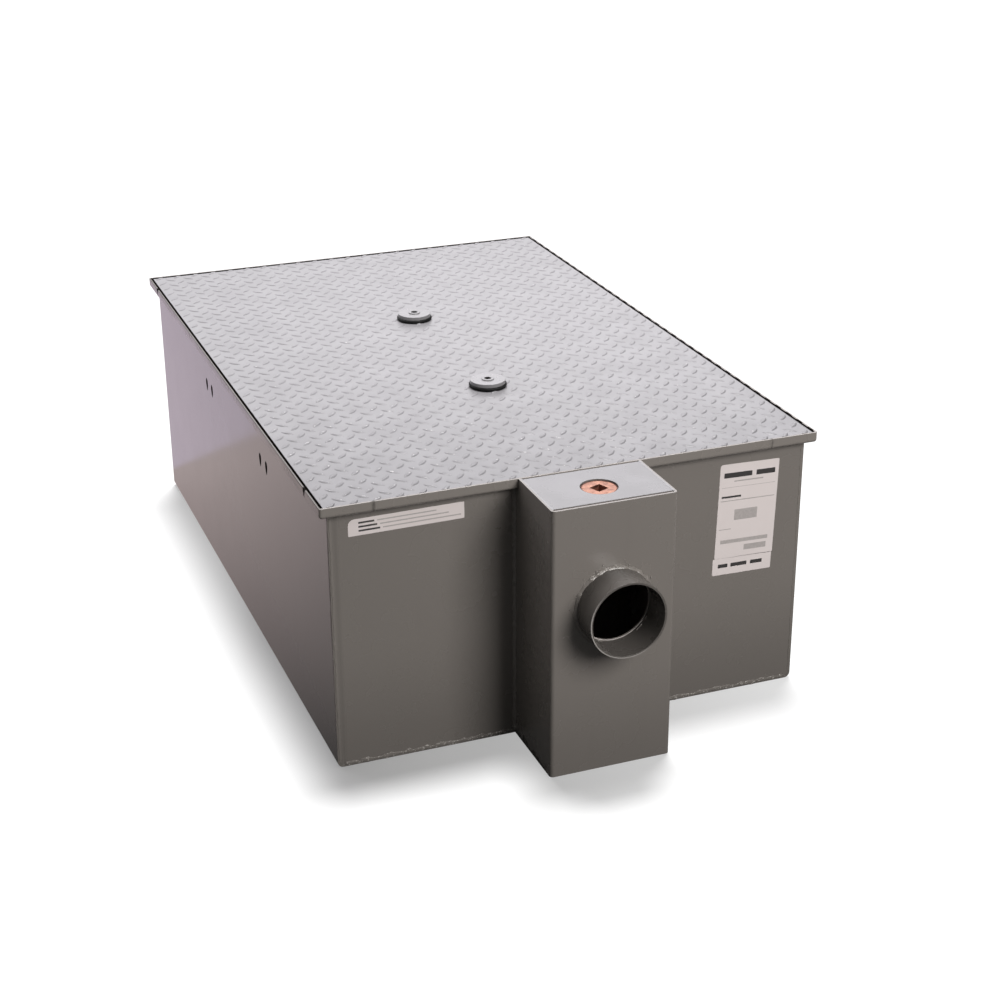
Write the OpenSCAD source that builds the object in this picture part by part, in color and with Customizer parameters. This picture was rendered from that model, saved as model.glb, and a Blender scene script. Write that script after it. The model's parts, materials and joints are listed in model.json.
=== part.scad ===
// Grease trap: a welded steel tank with a bolted tread-plate cover and a boxed outlet.
// Millimetres. +Z is up, -Y is the outlet side, +Y is the inlet side.
// The origin lies on the floor under the middle of the tank.

/* [Tank] */
// Width across the cover frame
rim_w = 762; // [620:1:900]
// Length along the cover frame, outlet side to inlet side
rim_l = 1140; // [1000:1:1400]
// Height from the floor to the top of the cover frame
trap_h = 414; // [380:1:520]
// Thickness of the tank and outlet box sheet
sheet = 3.4; // [2:0.1:5]
// Outer radius of the folds along the tank's floor
bend_r = 9; // [6:0.5:14]
// Extra corner radius that leaves room for the weld at a fold
weld_relief = 1; // [0.5:0.1:3]
// Gap left between plates that are welded edge to edge
weld_gap = 0.3; // [0.1:0.1:0.8]

/* [Cover frame] */
// How far the frame stands out from the tank walls
rim_overhang = 14; // [10:0.5:20]
// Height of the frame
rim_depth = 16; // [14:0.5:24]
// Thickness of the frame's bent strip
rim_t = 3; // [2:0.1:4]
// Outer radius of the bend between upstand and ledge
rim_bend_r = 5; // [5:0.5:9]
// Outer radius of the frame's corners seen from above
rim_corner_r = 4; // [4:0.5:16]
// Width of the ledge that carries the gasket
ledge_w = 38; // [34:1:50]
// Length of each corner piece's arms
corner_arm = 76; // [60:1:110]
// Gap at the splices between corner pieces and straights
splice_gap = 0.5; // [0.2:0.1:1]

/* [Cover] */
// Thickness of the cover plate under its lugs
cover_t = 6; // [3:0.5:8]
// Gap between the cover's edge and the frame
cover_gap = 2.5; // [2.5:0.5:6]
// How far the cover lies towards the outlet side
cover_shift = 1.5; // [0:0.5:2]
// Thickness of the gasket under the cover
gasket_t = 6; // [2:0.5:8]
// Width of the gasket strip
gasket_w = 20; // [14:1:22]
// Distance from the cover's edge to the gasket
gasket_inset = 2; // [1:0.5:4]
// Length of a tread lug
lug_l = 26; // [20:0.5:28]
// Width of a tread lug at its middle
lug_w = 8.5; // [6:0.5:10]
// Height of a tread lug
lug_h = 1.6; // [1:0.1:2]
// Distance between lugs that point the same way
lug_pitch = 33; // [32:0.5:44]

/* [Hold-downs] */
// Distance from the frame's outlet face to the first hold-down bolt
bolt_from_outlet = 368; // [300:1:420]
// Distance between the two hold-down bolts
bolt_spacing = 360; // [280:1:380]
// Diameter of the bolt's disc head
disc_d = 56; // [40:1:66]
// Thickness of the disc head
disc_t = 5.5; // [4:0.5:8]
// Diameter of the boss on the disc head
boss_d = 20; // [16:0.5:24]
// Height of the boss
boss_h = 1.5; // [1:0.1:3]
// Hex socket across its flats
socket_af = 10.5; // [8:0.5:11]
// Depth of the hex socket
socket_depth = 5; // [3:0.5:5]
// Diameter of the bolt's shank
shank_d = 12.7; // [10:0.1:14]
// How far the shank reaches past its nut
shank_past_nut = 6; // [2:1:12]
// Diameter of the rubber seal washer
washer_d = 60; // [54:1:72]
// Thickness of the seal washer
washer_t = 4.5; // [3:0.5:7]
// Diameter of the bolt holes in the cover
cover_hole_d = 20; // [17:0.5:24]
// Radial gap between a screw thread and its nut or socket
thread_clear = 0.3; // [0.2:0.05:0.5]

/* [Crossbars] */
// Width of a crossbar
bar_w = 40; // [36:1:60]
// Height of a crossbar
bar_h = 26; // [24:1:40]
// Thickness of the crossbar sheet
bar_sheet = 3.4; // [2:0.1:4]
// Outer radius of the crossbar's bends
bar_bend_r = 5; // [4.5:0.5:8]
// Distance from the top of the frame down to the crossbars
bar_drop = 65; // [50:1:110]
// Height of the crossbar tabs in the wall slots
tab_h = 15; // [8:1:16]
// Gap round a crossbar tab in its wall slot
slot_clear = 1.5; // [0.2:0.1:2]
// Depth of a tab's end below the outside of the wall
tab_sink = 2; // [0:0.1:2]
// Radial gap round the bolt in the crossbar's web
bar_hole_gap = 1; // [0.5:0.1:2]
// Weld nut across its flats
nut_af = 19; // [18:0.5:24]
// Height of the weld nut
nut_h = 11; // [8:0.5:14]

/* [Outlet box] */
// Width of the outlet box
box_w = 187; // [170:1:240]
// Distance from the tank's end plate to the face of the box
box_reach = 137; // [120:1:200]
// Outer radius of the box's upright folds
box_bend_r = 6; // [5.5:0.5:9]
// Width of the grooves along the front and back edges of the box's top plate
groove_w = 4; // [1:0.5:8]
// Depth of those grooves
groove_depth = 1.5; // [0.5:0.1:1.5]
// Width of the port between tank and box
port_w = 150; // [100:1:155]
// Height of the port
port_h = 90; // [60:1:120]
// Height of the port's lower edge above the floor
port_sill = 15; // [12:1:40]
// Diameter of the air relief hole
vent_d = 25; // [15:1:40]
// Distance from the top of the tank wall down to the air relief hole
vent_drop = 30; // [24:1:40]

/* [Pipes] */
// Outer diameter of the pipe stubs
pipe_od = 114.3; // [88.9:0.1:125]
// Wall of the pipe stubs
pipe_wall = 3.05; // [2:0.05:6]
// How far the plates' holes stand in from the bore of the pipe stubs
pipe_lip = 1; // [0:0.5:4]
// Height of the pipes' axis above the floor
pipe_z = 258; // [230:1:270]
// Length of the outlet stub from the face of the box
outlet_stub = 51; // [40:1:120]
// Length of the inlet stub from the tank's end plate
inlet_stub = 66; // [40:1:120]

/* [Cleanout] */
// Diameter of the cleanout plug
plug_d = 51; // [40:0.5:60]
// Length of the plug
plug_h = 20; // [14:1:24]
// Depth of the plug's face below the top of the box
plug_sink = 2; // [0:0.1:4]
// Width of the plug's square socket
plug_socket = 19; // [12:0.5:24]
// Depth of the square socket
plug_socket_depth = 12; // [6:0.5:12]
// Angle that the plug is screwed round to
plug_angle = 22; // [0:1:89]
// Gap round the plug in the top plate
plug_hole_gap = 1.2; // [0.8:0.1:3]
// Distance from the frame to the plug's axis
plug_from_rim = 66; // [50:1:70]
// Wall of the threaded ring under the top plate
ring_wall = 6; // [4:0.5:8]
// Height of the threaded ring
ring_h = 22; // [16:1:25]

/* [Baffle] */
// Distance from the inlet end plate to the baffle
baffle_from_inlet = 150; // [90:1:200]
// Thickness of the baffle sheet
baffle_t = 3; // [2:0.1:4]
// Height of the baffle's top edge above the floor
baffle_top = 385; // [330:1:390]
// Gap between the baffle and its guides
baffle_clear = 0.5; // [0.3:0.1:1.5]
// Corner radius of the baffle
baffle_corner_r = 9; // [8:0.5:16]
// Thickness of the guide channels
guide_t = 2; // [1.5:0.1:3]
// Depth of the guide channels
guide_depth = 18; // [12:1:30]
// Distance from the floor to the guides' lower ends
guide_lift = 14; // [10:1:40]
// Distance from the top of the baffle down to the guides' upper ends
guide_drop = 20; // [5:1:60]
// Width of each flow arch in the baffle
arch_w = 100; // [60:1:130]
// Height of the flow arches
arch_h = 70; // [40:1:110]
// Distance between flow arches
arch_pitch = 220; // [150:1:230]
// Length of the hand holes
grip_l = 95; // [80:1:120]
// Height of the hand holes
grip_h = 28; // [22:1:36]
// Distance from the baffle's middle to each hand hole
grip_x = 170; // [100:1:220]
// Distance from the baffle's top edge to the hand holes
grip_drop = 34; // [30:1:60]

/* [Hidden] */
$fn = 96;
tank_w = rim_w - 2 * rim_overhang;
tank_l = rim_l - 2 * rim_overhang;
inner_w = tank_w - 2 * sheet;
wall_top = trap_h - rim_depth;
outlet_face = -tank_l / 2;
inlet_face = tank_l / 2;
rim_face = -rim_l / 2;
box_face = outlet_face - box_reach;
cover_w = rim_w - 2 * (rim_t + cover_gap);
cover_l = rim_l - 2 * (rim_t + cover_gap);
cover_z = wall_top + rim_t + gasket_t;
lug_top = cover_z + cover_t + lug_h;
lug_r = (lug_l * lug_l + lug_w * lug_w) / (4 * lug_w);
disc_z = lug_top + washer_t;
bar_top = trap_h - bar_drop;
nut_z = bar_top - bar_sheet - nut_h;
bar_outlet_y = rim_face + bolt_from_outlet;
bar_inlet_y = bar_outlet_y + bolt_spacing;
pipe_bore_r = pipe_od / 2 - pipe_wall;
pipe_hole_r = pipe_bore_r - pipe_lip;
plug_y = rim_face - plug_from_rim;
plug_hole_r = plug_d / 2 + plug_hole_gap;
top_plate_z = trap_h - sheet;
baffle_y = inlet_face - sheet - baffle_from_inlet;
baffle_w = inner_w - 2 * (guide_t + baffle_clear);
guide_w = baffle_t + 2 * (baffle_clear + guide_t);
over = 1;
enamel = [0.43, 0.41, 0.39];
light_enamel = [0.76, 0.75, 0.77];
raw_steel = [0.55, 0.56, 0.58];
black_rubber = [0.06, 0.06, 0.06];
bronze = [0.80, 0.56, 0.45];

// Outline that stands on y = 0, as wide as w, with its two lower corners rounded
module trough(w, h, r) {
  translate([-w / 2 + r, 0])
    square([w - 2 * r, h]);
  translate([-w / 2, r])
    square([w, h - r]);
  for (side = [-1, 1])
    translate([side * (w / 2 - r), r])
      circle(r);
}

// Section of a sheet folded to a channel, open at the top
module channel(w, h, r, t) {
  difference() {
    trough(w, h, r);
    translate([0, t])
      trough(w - 2 * t, h, r - t);
  }
}

// Stands an outline up in the XZ plane with its front at y = 0 and its back at y = t
module upright(t) {
  translate([0, t, 0])
    rotate([90, 0, 0])
      linear_extrude(t)
        children();
}

// Tube along -Y that starts at y = 0
module stub(length) {
  rotate([90, 0, 0])
    difference() {
      cylinder(h = length, d = pipe_od);
      translate([0, 0, -over])
        cylinder(h = length + 2 * over, r = pipe_bore_r);
    }
}

// Floor and side walls, folded from one sheet and slotted for the crossbar tabs
module tank_shell() {
  slot_w = bar_sheet + 2 * slot_clear;
  slot_h = tab_h + 2 * slot_clear;
  color(enamel)
    difference() {
      translate([0, outlet_face, 0])
        upright(tank_l)
          channel(tank_w, wall_top, bend_r, sheet);
      for (y = [bar_outlet_y, bar_inlet_y], side = [-1, 1])
        translate([-tank_w / 2 - over, y + side * (bar_w - bar_sheet) / 2 - slot_w / 2,
                   bar_top - bar_bend_r - tab_h - slot_clear])
          cube([tank_w + 2 * over, slot_w, slot_h]);
    }
}

// Outline of an end plate that fits between the folded walls
module end_outline() {
  translate([0, sheet])
    trough(inner_w, wall_top - sheet, bend_r - sheet + weld_relief);
}

module outlet_end_plate() {
  color(enamel)
    translate([0, outlet_face, 0])
      upright(sheet)
        difference() {
          end_outline();
          translate([-port_w / 2, port_sill])
            square([port_w, port_h]);
          translate([0, wall_top - vent_drop])
            circle(d = vent_d);
        }
}

module inlet_end_plate() {
  color(enamel)
    translate([0, inlet_face - sheet, 0])
      upright(sheet)
        difference() {
          end_outline();
          translate([0, pipe_z])
            circle(r = pipe_hole_r);
        }
}

// Rectangle with its lower left corner rounded
module eased_block(w, h, r) {
  translate([r, 0])
    square([w - r, h]);
  translate([0, r])
    square([w, h - r]);
  translate([r, r])
    circle(r);
}

// Section of the cover frame: x runs inwards from its outer face, y upwards
module rim_section() {
  difference() {
    eased_block(ledge_w, rim_depth, rim_bend_r);
    translate([rim_t, rim_t])
      eased_block(ledge_w, rim_depth, rim_bend_r - rim_t);
  }
}

// Length of frame along +X with its outer face at y = 0
module rim_run(length) {
  rotate([90, 0, 90])
    linear_extrude(length)
      rim_section();
}

// One straight of the frame: turn is 0 for the outlet side and goes round by the right
module rim_straight(turn, width, distance) {
  length = width - 2 * (corner_arm + splice_gap);
  color(enamel)
    rotate([0, 0, turn])
      translate([-length / 2, -distance, wall_top])
        rim_run(length);
}

module rim_front() { rim_straight(0, rim_w, rim_l / 2); }
module rim_right() { rim_straight(90, rim_l, rim_w / 2); }
module rim_back() { rim_straight(180, rim_w, rim_l / 2); }
module rim_left() { rim_straight(270, rim_l, rim_w / 2); }

// Corner piece of the frame, bent round in plan: side_x and side_y are -1 or 1
module rim_corner(side_x, side_y) {
  color(enamel)
    mirror([side_x > 0 ? 1 : 0, 0, 0])
      mirror([0, side_y > 0 ? 1 : 0, 0])
        translate([-rim_w / 2, -rim_l / 2, wall_top]) {
          translate([rim_corner_r, 0, 0])
            rim_run(corner_arm - rim_corner_r);
          mirror([1, -1, 0])
            translate([rim_corner_r, 0, 0])
              rim_run(corner_arm - rim_corner_r);
          translate([rim_corner_r, rim_corner_r, 0])
            rotate([0, 0, 180])
              rotate_extrude(angle = 90)
                translate([rim_corner_r, 0])
                  mirror([1, 0])
                    intersection() {
                      rim_section();
                      square([rim_corner_r, rim_depth]);
                    }
        }
}

module rim_corner_front_left() { rim_corner(-1, -1); }
module rim_corner_front_right() { rim_corner(1, -1); }
module rim_corner_back_left() { rim_corner(-1, 1); }
module rim_corner_back_right() { rim_corner(1, 1); }

// Front and sides of the outlet box, folded from one sheet and notched under the frame
module outlet_box() {
  color(enamel)
    difference() {
      translate([0, box_face, 0])
        linear_extrude(trap_h)
          channel(box_w, box_reach, box_bend_r, sheet);
      translate([-box_w / 2 - over, rim_face, wall_top])
        cube([box_w + 2 * over, rim_overhang + over, rim_depth + over]);
      translate([0, box_face + sheet + over, pipe_z])
        rotate([90, 0, 0])
          cylinder(h = sheet + 2 * over, r = pipe_hole_r);
    }
}

// Plate that fits inside the outlet box from its face back to the given y
module box_plate(back_y) {
  front_y = box_face + sheet + weld_gap;
  translate([0, front_y])
    trough(box_w - 2 * (sheet + weld_gap), back_y - front_y, box_bend_r - sheet + weld_relief);
}

module outlet_box_floor() {
  color(enamel)
    linear_extrude(sheet)
      box_plate(outlet_face);
}

// Top plate of the box, with a groove along the box's front sheet and one along the frame
module outlet_box_top() {
  color(light_enamel)
    difference() {
      translate([0, 0, top_plate_z])
        linear_extrude(sheet)
          difference() {
            box_plate(rim_face);
            translate([0, plug_y])
              circle(r = plug_hole_r);
          }
      for (y = [box_face + sheet, rim_face - groove_w])
        translate([-box_w / 2, y, trap_h - groove_depth])
          cube([box_w, groove_w + weld_gap, groove_depth + over]);
    }
}

module outlet_pipe() {
  color(enamel)
    translate([0, box_face, pipe_z])
      stub(outlet_stub);
}

module inlet_pipe() {
  color(enamel)
    translate([0, inlet_face + inlet_stub, pipe_z])
      stub(inlet_stub);
}

// Threaded ring welded under the top plate
module cleanout_ring() {
  bore_r = plug_d / 2 + thread_clear;
  color(raw_steel)
    translate([0, plug_y, top_plate_z - ring_h])
      difference() {
        cylinder(h = ring_h, r = bore_r + ring_wall);
        translate([0, 0, -over])
          cylinder(h = ring_h + 2 * over, r = bore_r);
      }
}

module cleanout_plug() {
  color(bronze)
    translate([0, plug_y, trap_h - plug_sink])
      difference() {
        translate([0, 0, -plug_h])
          cylinder(h = plug_h, d = plug_d);
        rotate([0, 0, plug_angle])
          translate([-plug_socket / 2, -plug_socket / 2, -plug_socket_depth])
            cube([plug_socket, plug_socket, plug_socket_depth + over]);
      }
}

// Channel across the tank, flanges down, with tabs that lie in the wall slots
module crossbar(y) {
  length = inner_w - 2 * weld_gap;
  color(enamel)
    translate([0, y, bar_top])
      difference() {
        union() {
          translate([-length / 2, 0, 0])
            rotate([90, 0, 90])
              linear_extrude(length)
                mirror([0, 1])
                  channel(bar_w, bar_h, bar_bend_r, bar_sheet);
          for (side = [-1, 1])
            translate([tab_sink - tank_w / 2, side * (bar_w - bar_sheet) / 2 - bar_sheet / 2,
                       -bar_bend_r - tab_h])
              cube([tank_w - 2 * tab_sink, bar_sheet, tab_h]);
        }
        translate([0, 0, -bar_sheet - over])
          cylinder(h = bar_sheet + 2 * over, r = shank_d / 2 + bar_hole_gap);
      }
}

module crossbar_outlet() { crossbar(bar_outlet_y); }
module crossbar_inlet() { crossbar(bar_inlet_y); }

module weld_nut(y) {
  color(raw_steel)
    translate([0, y, nut_z])
      difference() {
        cylinder(h = nut_h, r = nut_af / 2 / cos(30), $fn = 6);
        translate([0, 0, -over])
          cylinder(h = nut_h + 2 * over, r = shank_d / 2 + thread_clear);
      }
}

module weld_nut_outlet() { weld_nut(bar_outlet_y); }
module weld_nut_inlet() { weld_nut(bar_inlet_y); }

// Lift-out baffle with flow arches along the floor and hand holes near its top
module inlet_baffle() {
  color(enamel)
    translate([0, baffle_y, 0])
      upright(baffle_t)
        difference() {
          translate([0, sheet])
            trough(baffle_w, baffle_top - sheet, baffle_corner_r);
          for (k = [-1 : 1])
            translate([k * arch_pitch - arch_w / 2, 0])
              square([arch_w, sheet + arch_h]);
          for (side = [-1, 1])
            translate([side * grip_x, baffle_top - grip_drop]) {
              square([grip_l - grip_h, grip_h], center = true);
              for (end = [-1, 1])
                translate([end * (grip_l - grip_h) / 2, 0])
                  circle(d = grip_h);
            }
        }
}

// Channel on a side wall that the baffle slides in
module baffle_guide(side) {
  color(enamel)
    mirror([side > 0 ? 1 : 0, 0, 0])
      translate([-inner_w / 2, baffle_y + baffle_t / 2 - guide_w / 2, guide_lift])
        linear_extrude(baffle_top - guide_drop - guide_lift)
          difference() {
            square([guide_depth, guide_w]);
            translate([guide_t, guide_t])
              square([guide_depth, guide_w - 2 * guide_t]);
          }
}

module baffle_guide_left() { baffle_guide(-1); }
module baffle_guide_right() { baffle_guide(1); }

// Plan outline of the cover plate with its bolt holes, centred on the frame
module cover_outline() {
  difference() {
    translate([0, -cover_shift])
      square([cover_w, cover_l], center = true);
    for (y = [bar_outlet_y, bar_inlet_y])
      translate([0, y])
        circle(d = cover_hole_d);
  }
}

// Outline of one lug: two arcs that meet in points
module lug_outline() {
  intersection() {
    translate([0, lug_r - lug_w / 2])
      circle(lug_r);
    translate([0, lug_w / 2 - lug_r])
      circle(lug_r);
  }
}

// Places and turns of the lugs: two square grids, each set in the gaps of the other and turned across it
lug_places = [
  for (shift = [0, 0.5],
       i = [-ceil(cover_w / lug_pitch / 2) : ceil(cover_w / lug_pitch / 2)],
       j = [-ceil(cover_l / lug_pitch / 2) : ceil(cover_l / lug_pitch / 2)])
    [(i + shift) * lug_pitch, (j + shift) * lug_pitch - cover_shift, 45 - 180 * shift]
];
// Room round a lug's middle before the nearest edge or bolt hole of the cover
function edge_room(p) = min(cover_w / 2 - abs(p[0]), cover_l / 2 - abs(p[1] + cover_shift));
function hole_room(p, y) = norm([p[0], p[1] - y]) - cover_hole_d / 2;
function lug_room(p) = min(edge_room(p), hole_room(p, bar_outlet_y), hole_room(p, bar_inlet_y));
whole_lugs = [for (p = lug_places) if (lug_room(p) >= lug_l / 2) p];
cut_lugs = [for (p = lug_places) if (lug_room(p) < lug_l / 2 && edge_room(p) > 0) p];

module lugs(places) {
  for (p = places)
    translate([p[0], p[1]])
      rotate(p[2])
        lug_outline();
}

// Rolled tread plate: lugs run to its edges, where the shears have cut them through
module cover() {
  color(light_enamel)
    translate([0, 0, cover_z]) {
      linear_extrude(cover_t)
        cover_outline();
      translate([0, 0, cover_t])
        linear_extrude(lug_h)
          lugs(whole_lugs);
      translate([0, 0, cover_t])
        linear_extrude(lug_h)
          intersection() {
            cover_outline();
            lugs(cut_lugs);
          }
    }
}

module cover_gasket() {
  color(black_rubber)
    translate([0, -cover_shift, cover_z - gasket_t])
      linear_extrude(gasket_t)
        difference() {
          square([cover_w - 2 * gasket_inset, cover_l - 2 * gasket_inset], center = true);
          square([cover_w - 2 * (gasket_inset + gasket_w), cover_l - 2 * (gasket_inset + gasket_w)],
                 center = true);
        }
}

// Bolt with a wide disc head, a boss and a hex socket
module hold_down_bolt(y) {
  head_top = disc_t + boss_h;
  shank_l = disc_z - nut_z + shank_past_nut;
  color(light_enamel)
    translate([0, y, disc_z])
      difference() {
        union() {
          cylinder(h = disc_t, d = disc_d);
          cylinder(h = head_top, d = boss_d);
          translate([0, 0, -shank_l])
            cylinder(h = shank_l, d = shank_d);
        }
        translate([0, 0, head_top - socket_depth])
          cylinder(h = socket_depth + over, r = socket_af / 2 / cos(30), $fn = 6);
      }
}

module hold_down_bolt_outlet() { hold_down_bolt(bar_outlet_y); }
module hold_down_bolt_inlet() { hold_down_bolt(bar_inlet_y); }

// Rubber washer squeezed out to a round edge
module seal_washer(y) {
  hole_r = shank_d / 2 + thread_clear;
  color(black_rubber)
    translate([0, y, lug_top])
      rotate_extrude() {
        translate([hole_r, 0])
          square([washer_d / 2 - washer_t / 2 - hole_r, washer_t]);
        translate([washer_d / 2 - washer_t / 2, washer_t / 2])
          circle(d = washer_t);
      }
}

module seal_washer_outlet() { seal_washer(bar_outlet_y); }
module seal_washer_inlet() { seal_washer(bar_inlet_y); }

tank_shell();
outlet_end_plate();
inlet_end_plate();
rim_front();
rim_right();
rim_back();
rim_left();
rim_corner_front_left();
rim_corner_front_right();
rim_corner_back_left();
rim_corner_back_right();
outlet_box();
outlet_box_floor();
outlet_box_top();
outlet_pipe();
inlet_pipe();
cleanout_ring();
cleanout_plug();
crossbar_outlet();
crossbar_inlet();
weld_nut_outlet();
weld_nut_inlet();
inlet_baffle();
baffle_guide_left();
baffle_guide_right();
cover();
cover_gasket();
hold_down_bolt_outlet();
hold_down_bolt_inlet();
seal_washer_outlet();
seal_washer_inlet();
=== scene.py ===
"""Looks of the grease trap on its fixed frame: paint, tread plate, welds, rubber, bronze, blank labels."""
import json
import math

import bmesh
import bpy
import numpy as np
from mathutils import Matrix, Vector


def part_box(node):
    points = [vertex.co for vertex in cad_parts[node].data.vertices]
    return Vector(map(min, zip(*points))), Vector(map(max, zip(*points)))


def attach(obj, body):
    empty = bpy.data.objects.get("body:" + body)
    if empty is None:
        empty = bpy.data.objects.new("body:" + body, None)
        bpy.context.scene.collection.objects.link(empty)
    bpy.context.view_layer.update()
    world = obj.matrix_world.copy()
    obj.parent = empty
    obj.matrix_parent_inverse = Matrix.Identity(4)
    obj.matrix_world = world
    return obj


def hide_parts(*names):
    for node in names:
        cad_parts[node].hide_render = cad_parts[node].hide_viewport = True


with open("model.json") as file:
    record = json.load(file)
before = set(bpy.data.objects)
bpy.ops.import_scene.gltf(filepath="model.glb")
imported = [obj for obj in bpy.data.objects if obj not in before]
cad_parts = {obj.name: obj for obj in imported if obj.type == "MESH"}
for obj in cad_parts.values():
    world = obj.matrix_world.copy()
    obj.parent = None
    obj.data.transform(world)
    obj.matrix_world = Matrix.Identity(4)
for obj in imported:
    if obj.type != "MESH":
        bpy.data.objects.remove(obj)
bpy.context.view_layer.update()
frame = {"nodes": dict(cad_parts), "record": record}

MM = 0.001


def low(node):
    """Lowest corner of a node's box."""
    return np.array(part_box(node)[0])


def high(node):
    """Highest corner of a node's box."""
    return np.array(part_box(node)[1])


# Sizes of the source that no box in the frame gives
RIM_T = 3 * MM
PIPE_WALL = 3.05 * MM
TAB_MID = 12.5 * MM
TAB_SPREAD = 18.3 * MM
SOURCE_LUG_H = 1.6 * MM

# Places that the frame gives, in metres
WALL_X = high("tank_shell")[0]
WALL_TOP = high("tank_shell")[2]
FRONT_Y = low("outlet_end_plate")[1]
BACK_Y = high("inlet_end_plate")[1]
SHEET = high("outlet_end_plate")[1] - FRONT_Y
RIM_X = high("rim_right")[0]
RIM_Y = high("rim_back")[1]
RIM_TOP = high("rim_front")[2]
SPLICE_X = high("rim_front")[0]
SPLICE_Y = high("rim_left")[1]
BOX_X = high("outlet_box")[0]
BOX_Y = low("outlet_box")[1]
PIPE_R = high("outlet_pipe")[0]
PIPE_Z = (low("outlet_pipe")[2] + high("outlet_pipe")[2]) / 2
PIPE_END = low("outlet_pipe")[1]
PIPE_BORE = PIPE_R - PIPE_WALL
PLUG_Y = (low("cleanout_plug")[1] + high("cleanout_plug")[1]) / 2
PLUG_R = high("cleanout_plug")[0]
PLUG_TOP = high("cleanout_plug")[2]
COVER_LOW = low("cover")
COVER_HIGH = high("cover")
DISC_R = high("hold_down_bolt_outlet")[0]
BOLT_NODE = {"outlet_bolt": "hold_down_bolt_outlet", "inlet_bolt": "hold_down_bolt_inlet"}
BOLT_Y = {body: (low(node)[1] + high(node)[1]) / 2 for body, node in BOLT_NODE.items()}
SLOT_Z = high("crossbar_outlet")[2] - TAB_MID
SLOT_Y = [y + side * TAB_SPREAD for y in BOLT_Y.values() for side in (-1, 1)]

# Sizes of the tread plate; its lugs rise a little less than the source's
LUG_L = 23.5 * MM
LUG_W = 8 * MM
LUG_RISE = 1.15 * MM
LUG_SLOPE = 2.6 * MM
LUG_PITCH = 33 * MM
BOLT_HOLE_R = 10 * MM
PLATE_EDGE = 0.5 * MM
PLATE_TOP = COVER_HIGH[2] - SOURCE_LUG_H


# Meshes

def grid_faces(rows, cols, close_rows=False, close_cols=False):
    """Quads of a grid of points counted row by row; a closed direction joins its last line to its first."""
    r = np.arange(rows if close_rows else rows - 1)
    c = np.arange(cols if close_cols else cols - 1)
    r, c = np.meshgrid(r, c, indexing="ij")
    r2, c2 = (r + 1) % rows, (c + 1) % cols
    return np.stack([r * cols + c, r * cols + c2, r2 * cols + c2, r2 * cols + c], -1).reshape(-1, 4)


def joined(parts):
    """Several (points, faces) pairs as one, each part's faces counted on from the last."""
    points, faces, count = [], [], 0
    for p, f in parts:
        p = p.reshape(-1, 3)
        points.append(p)
        faces.append(f + count)
        count += len(p)
    return np.concatenate(points), np.concatenate(faces)


def make_piece(name, points, faces, finish, body, slot, sharp=math.radians(40)):
    """Closed mesh from points and quads: doubles merged, normals turned outwards, edges past sharp kept."""
    mesh = bpy.data.meshes.new(name)
    mesh.from_pydata(points.reshape(-1, 3).tolist(), [], faces.tolist())
    bm = bmesh.new()
    bm.from_mesh(mesh)
    bmesh.ops.remove_doubles(bm, verts=bm.verts, dist=1e-7)
    bmesh.ops.dissolve_degenerate(bm, edges=bm.edges, dist=1e-8)
    bmesh.ops.recalc_face_normals(bm, faces=bm.faces)
    bm.to_mesh(mesh)
    bm.free()
    mesh.polygons.foreach_set("use_smooth", np.ones(len(mesh.polygons), bool))
    mesh.set_sharp_from_angle(angle=sharp)
    mesh.materials.append(finish)
    piece = bpy.data.objects.new(name, mesh)
    bpy.context.scene.collection.objects.link(piece)
    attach(piece, body)
    return piece


def wander(count, knots, seed):
    """Smooth random values between -1 and 1: seeded knots joined by cosine steps."""
    values = np.random.default_rng(seed).uniform(-1, 1, knots + 1)
    place = np.linspace(0, knots - 1e-6, count)
    k = place.astype(int)
    step = (1 - np.cos((place - k) * math.pi)) / 2
    return values[k] * (1 - step) + values[k + 1] * step


# Materials

def new_material(name):
    """A new material, its node tree and its Principled shader."""
    mat = bpy.data.materials.new(name)
    mat.use_nodes = True
    tree = mat.node_tree
    return mat, tree, tree.nodes["Principled BSDF"]


def put(tree, socket, value):
    """Links a node's output to a socket, or sets the socket's own value."""
    if isinstance(value, bpy.types.NodeSocket):
        tree.links.new(value, socket)
    else:
        socket.default_value = value


def add(tree, kind, **sockets):
    """Adds a shader node with its named sockets filled."""
    made = tree.nodes.new("ShaderNode" + kind)
    for key, value in sockets.items():
        put(tree, made.inputs[key.replace("_", " ")], value)
    return made


def calc(tree, operation, *values):
    """One step of arithmetic."""
    made = tree.nodes.new("ShaderNodeMath")
    made.operation = operation
    for socket, value in zip(made.inputs, values):
        put(tree, socket, value)
    return made.outputs[0]


def times(tree, *values):
    """The product of two or more values."""
    product = values[0]
    for value in values[1:]:
        product = calc(tree, "MULTIPLY", product, value)
    return product


def most(tree, *values):
    """The largest of two or more values."""
    largest = values[0]
    for value in values[1:]:
        largest = calc(tree, "MAXIMUM", largest, value)
    return largest


def plus(tree, value, added):
    """Two values added."""
    return calc(tree, "ADD", value, added)


def less(tree, value, taken):
    """One value less another."""
    return calc(tree, "SUBTRACT", value, taken)


def unsigned(tree, value):
    """A value without its sign."""
    return calc(tree, "ABSOLUTE", value)


def radius(tree, a, b):
    """Distance from an axis by two coordinates square to it."""
    return calc(tree, "SQRT", plus(tree, times(tree, a, a), times(tree, b, b)))


def ramp(tree, value, start, end, to_start=0.0, to_end=1.0, smooth=True):
    """Carries a value from one range to another, held at its ends."""
    made = add(tree, "MapRange", Value=value, From_Min=start, From_Max=end, To_Min=to_start, To_Max=to_end)
    made.interpolation_type = "SMOOTHSTEP" if smooth else "LINEAR"
    return made.outputs["Result"]


def fall(tree, value, start, end, top=1.0):
    """Comes down from top to nothing between start and end."""
    return ramp(tree, value, start, end, top, 0.0)


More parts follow.
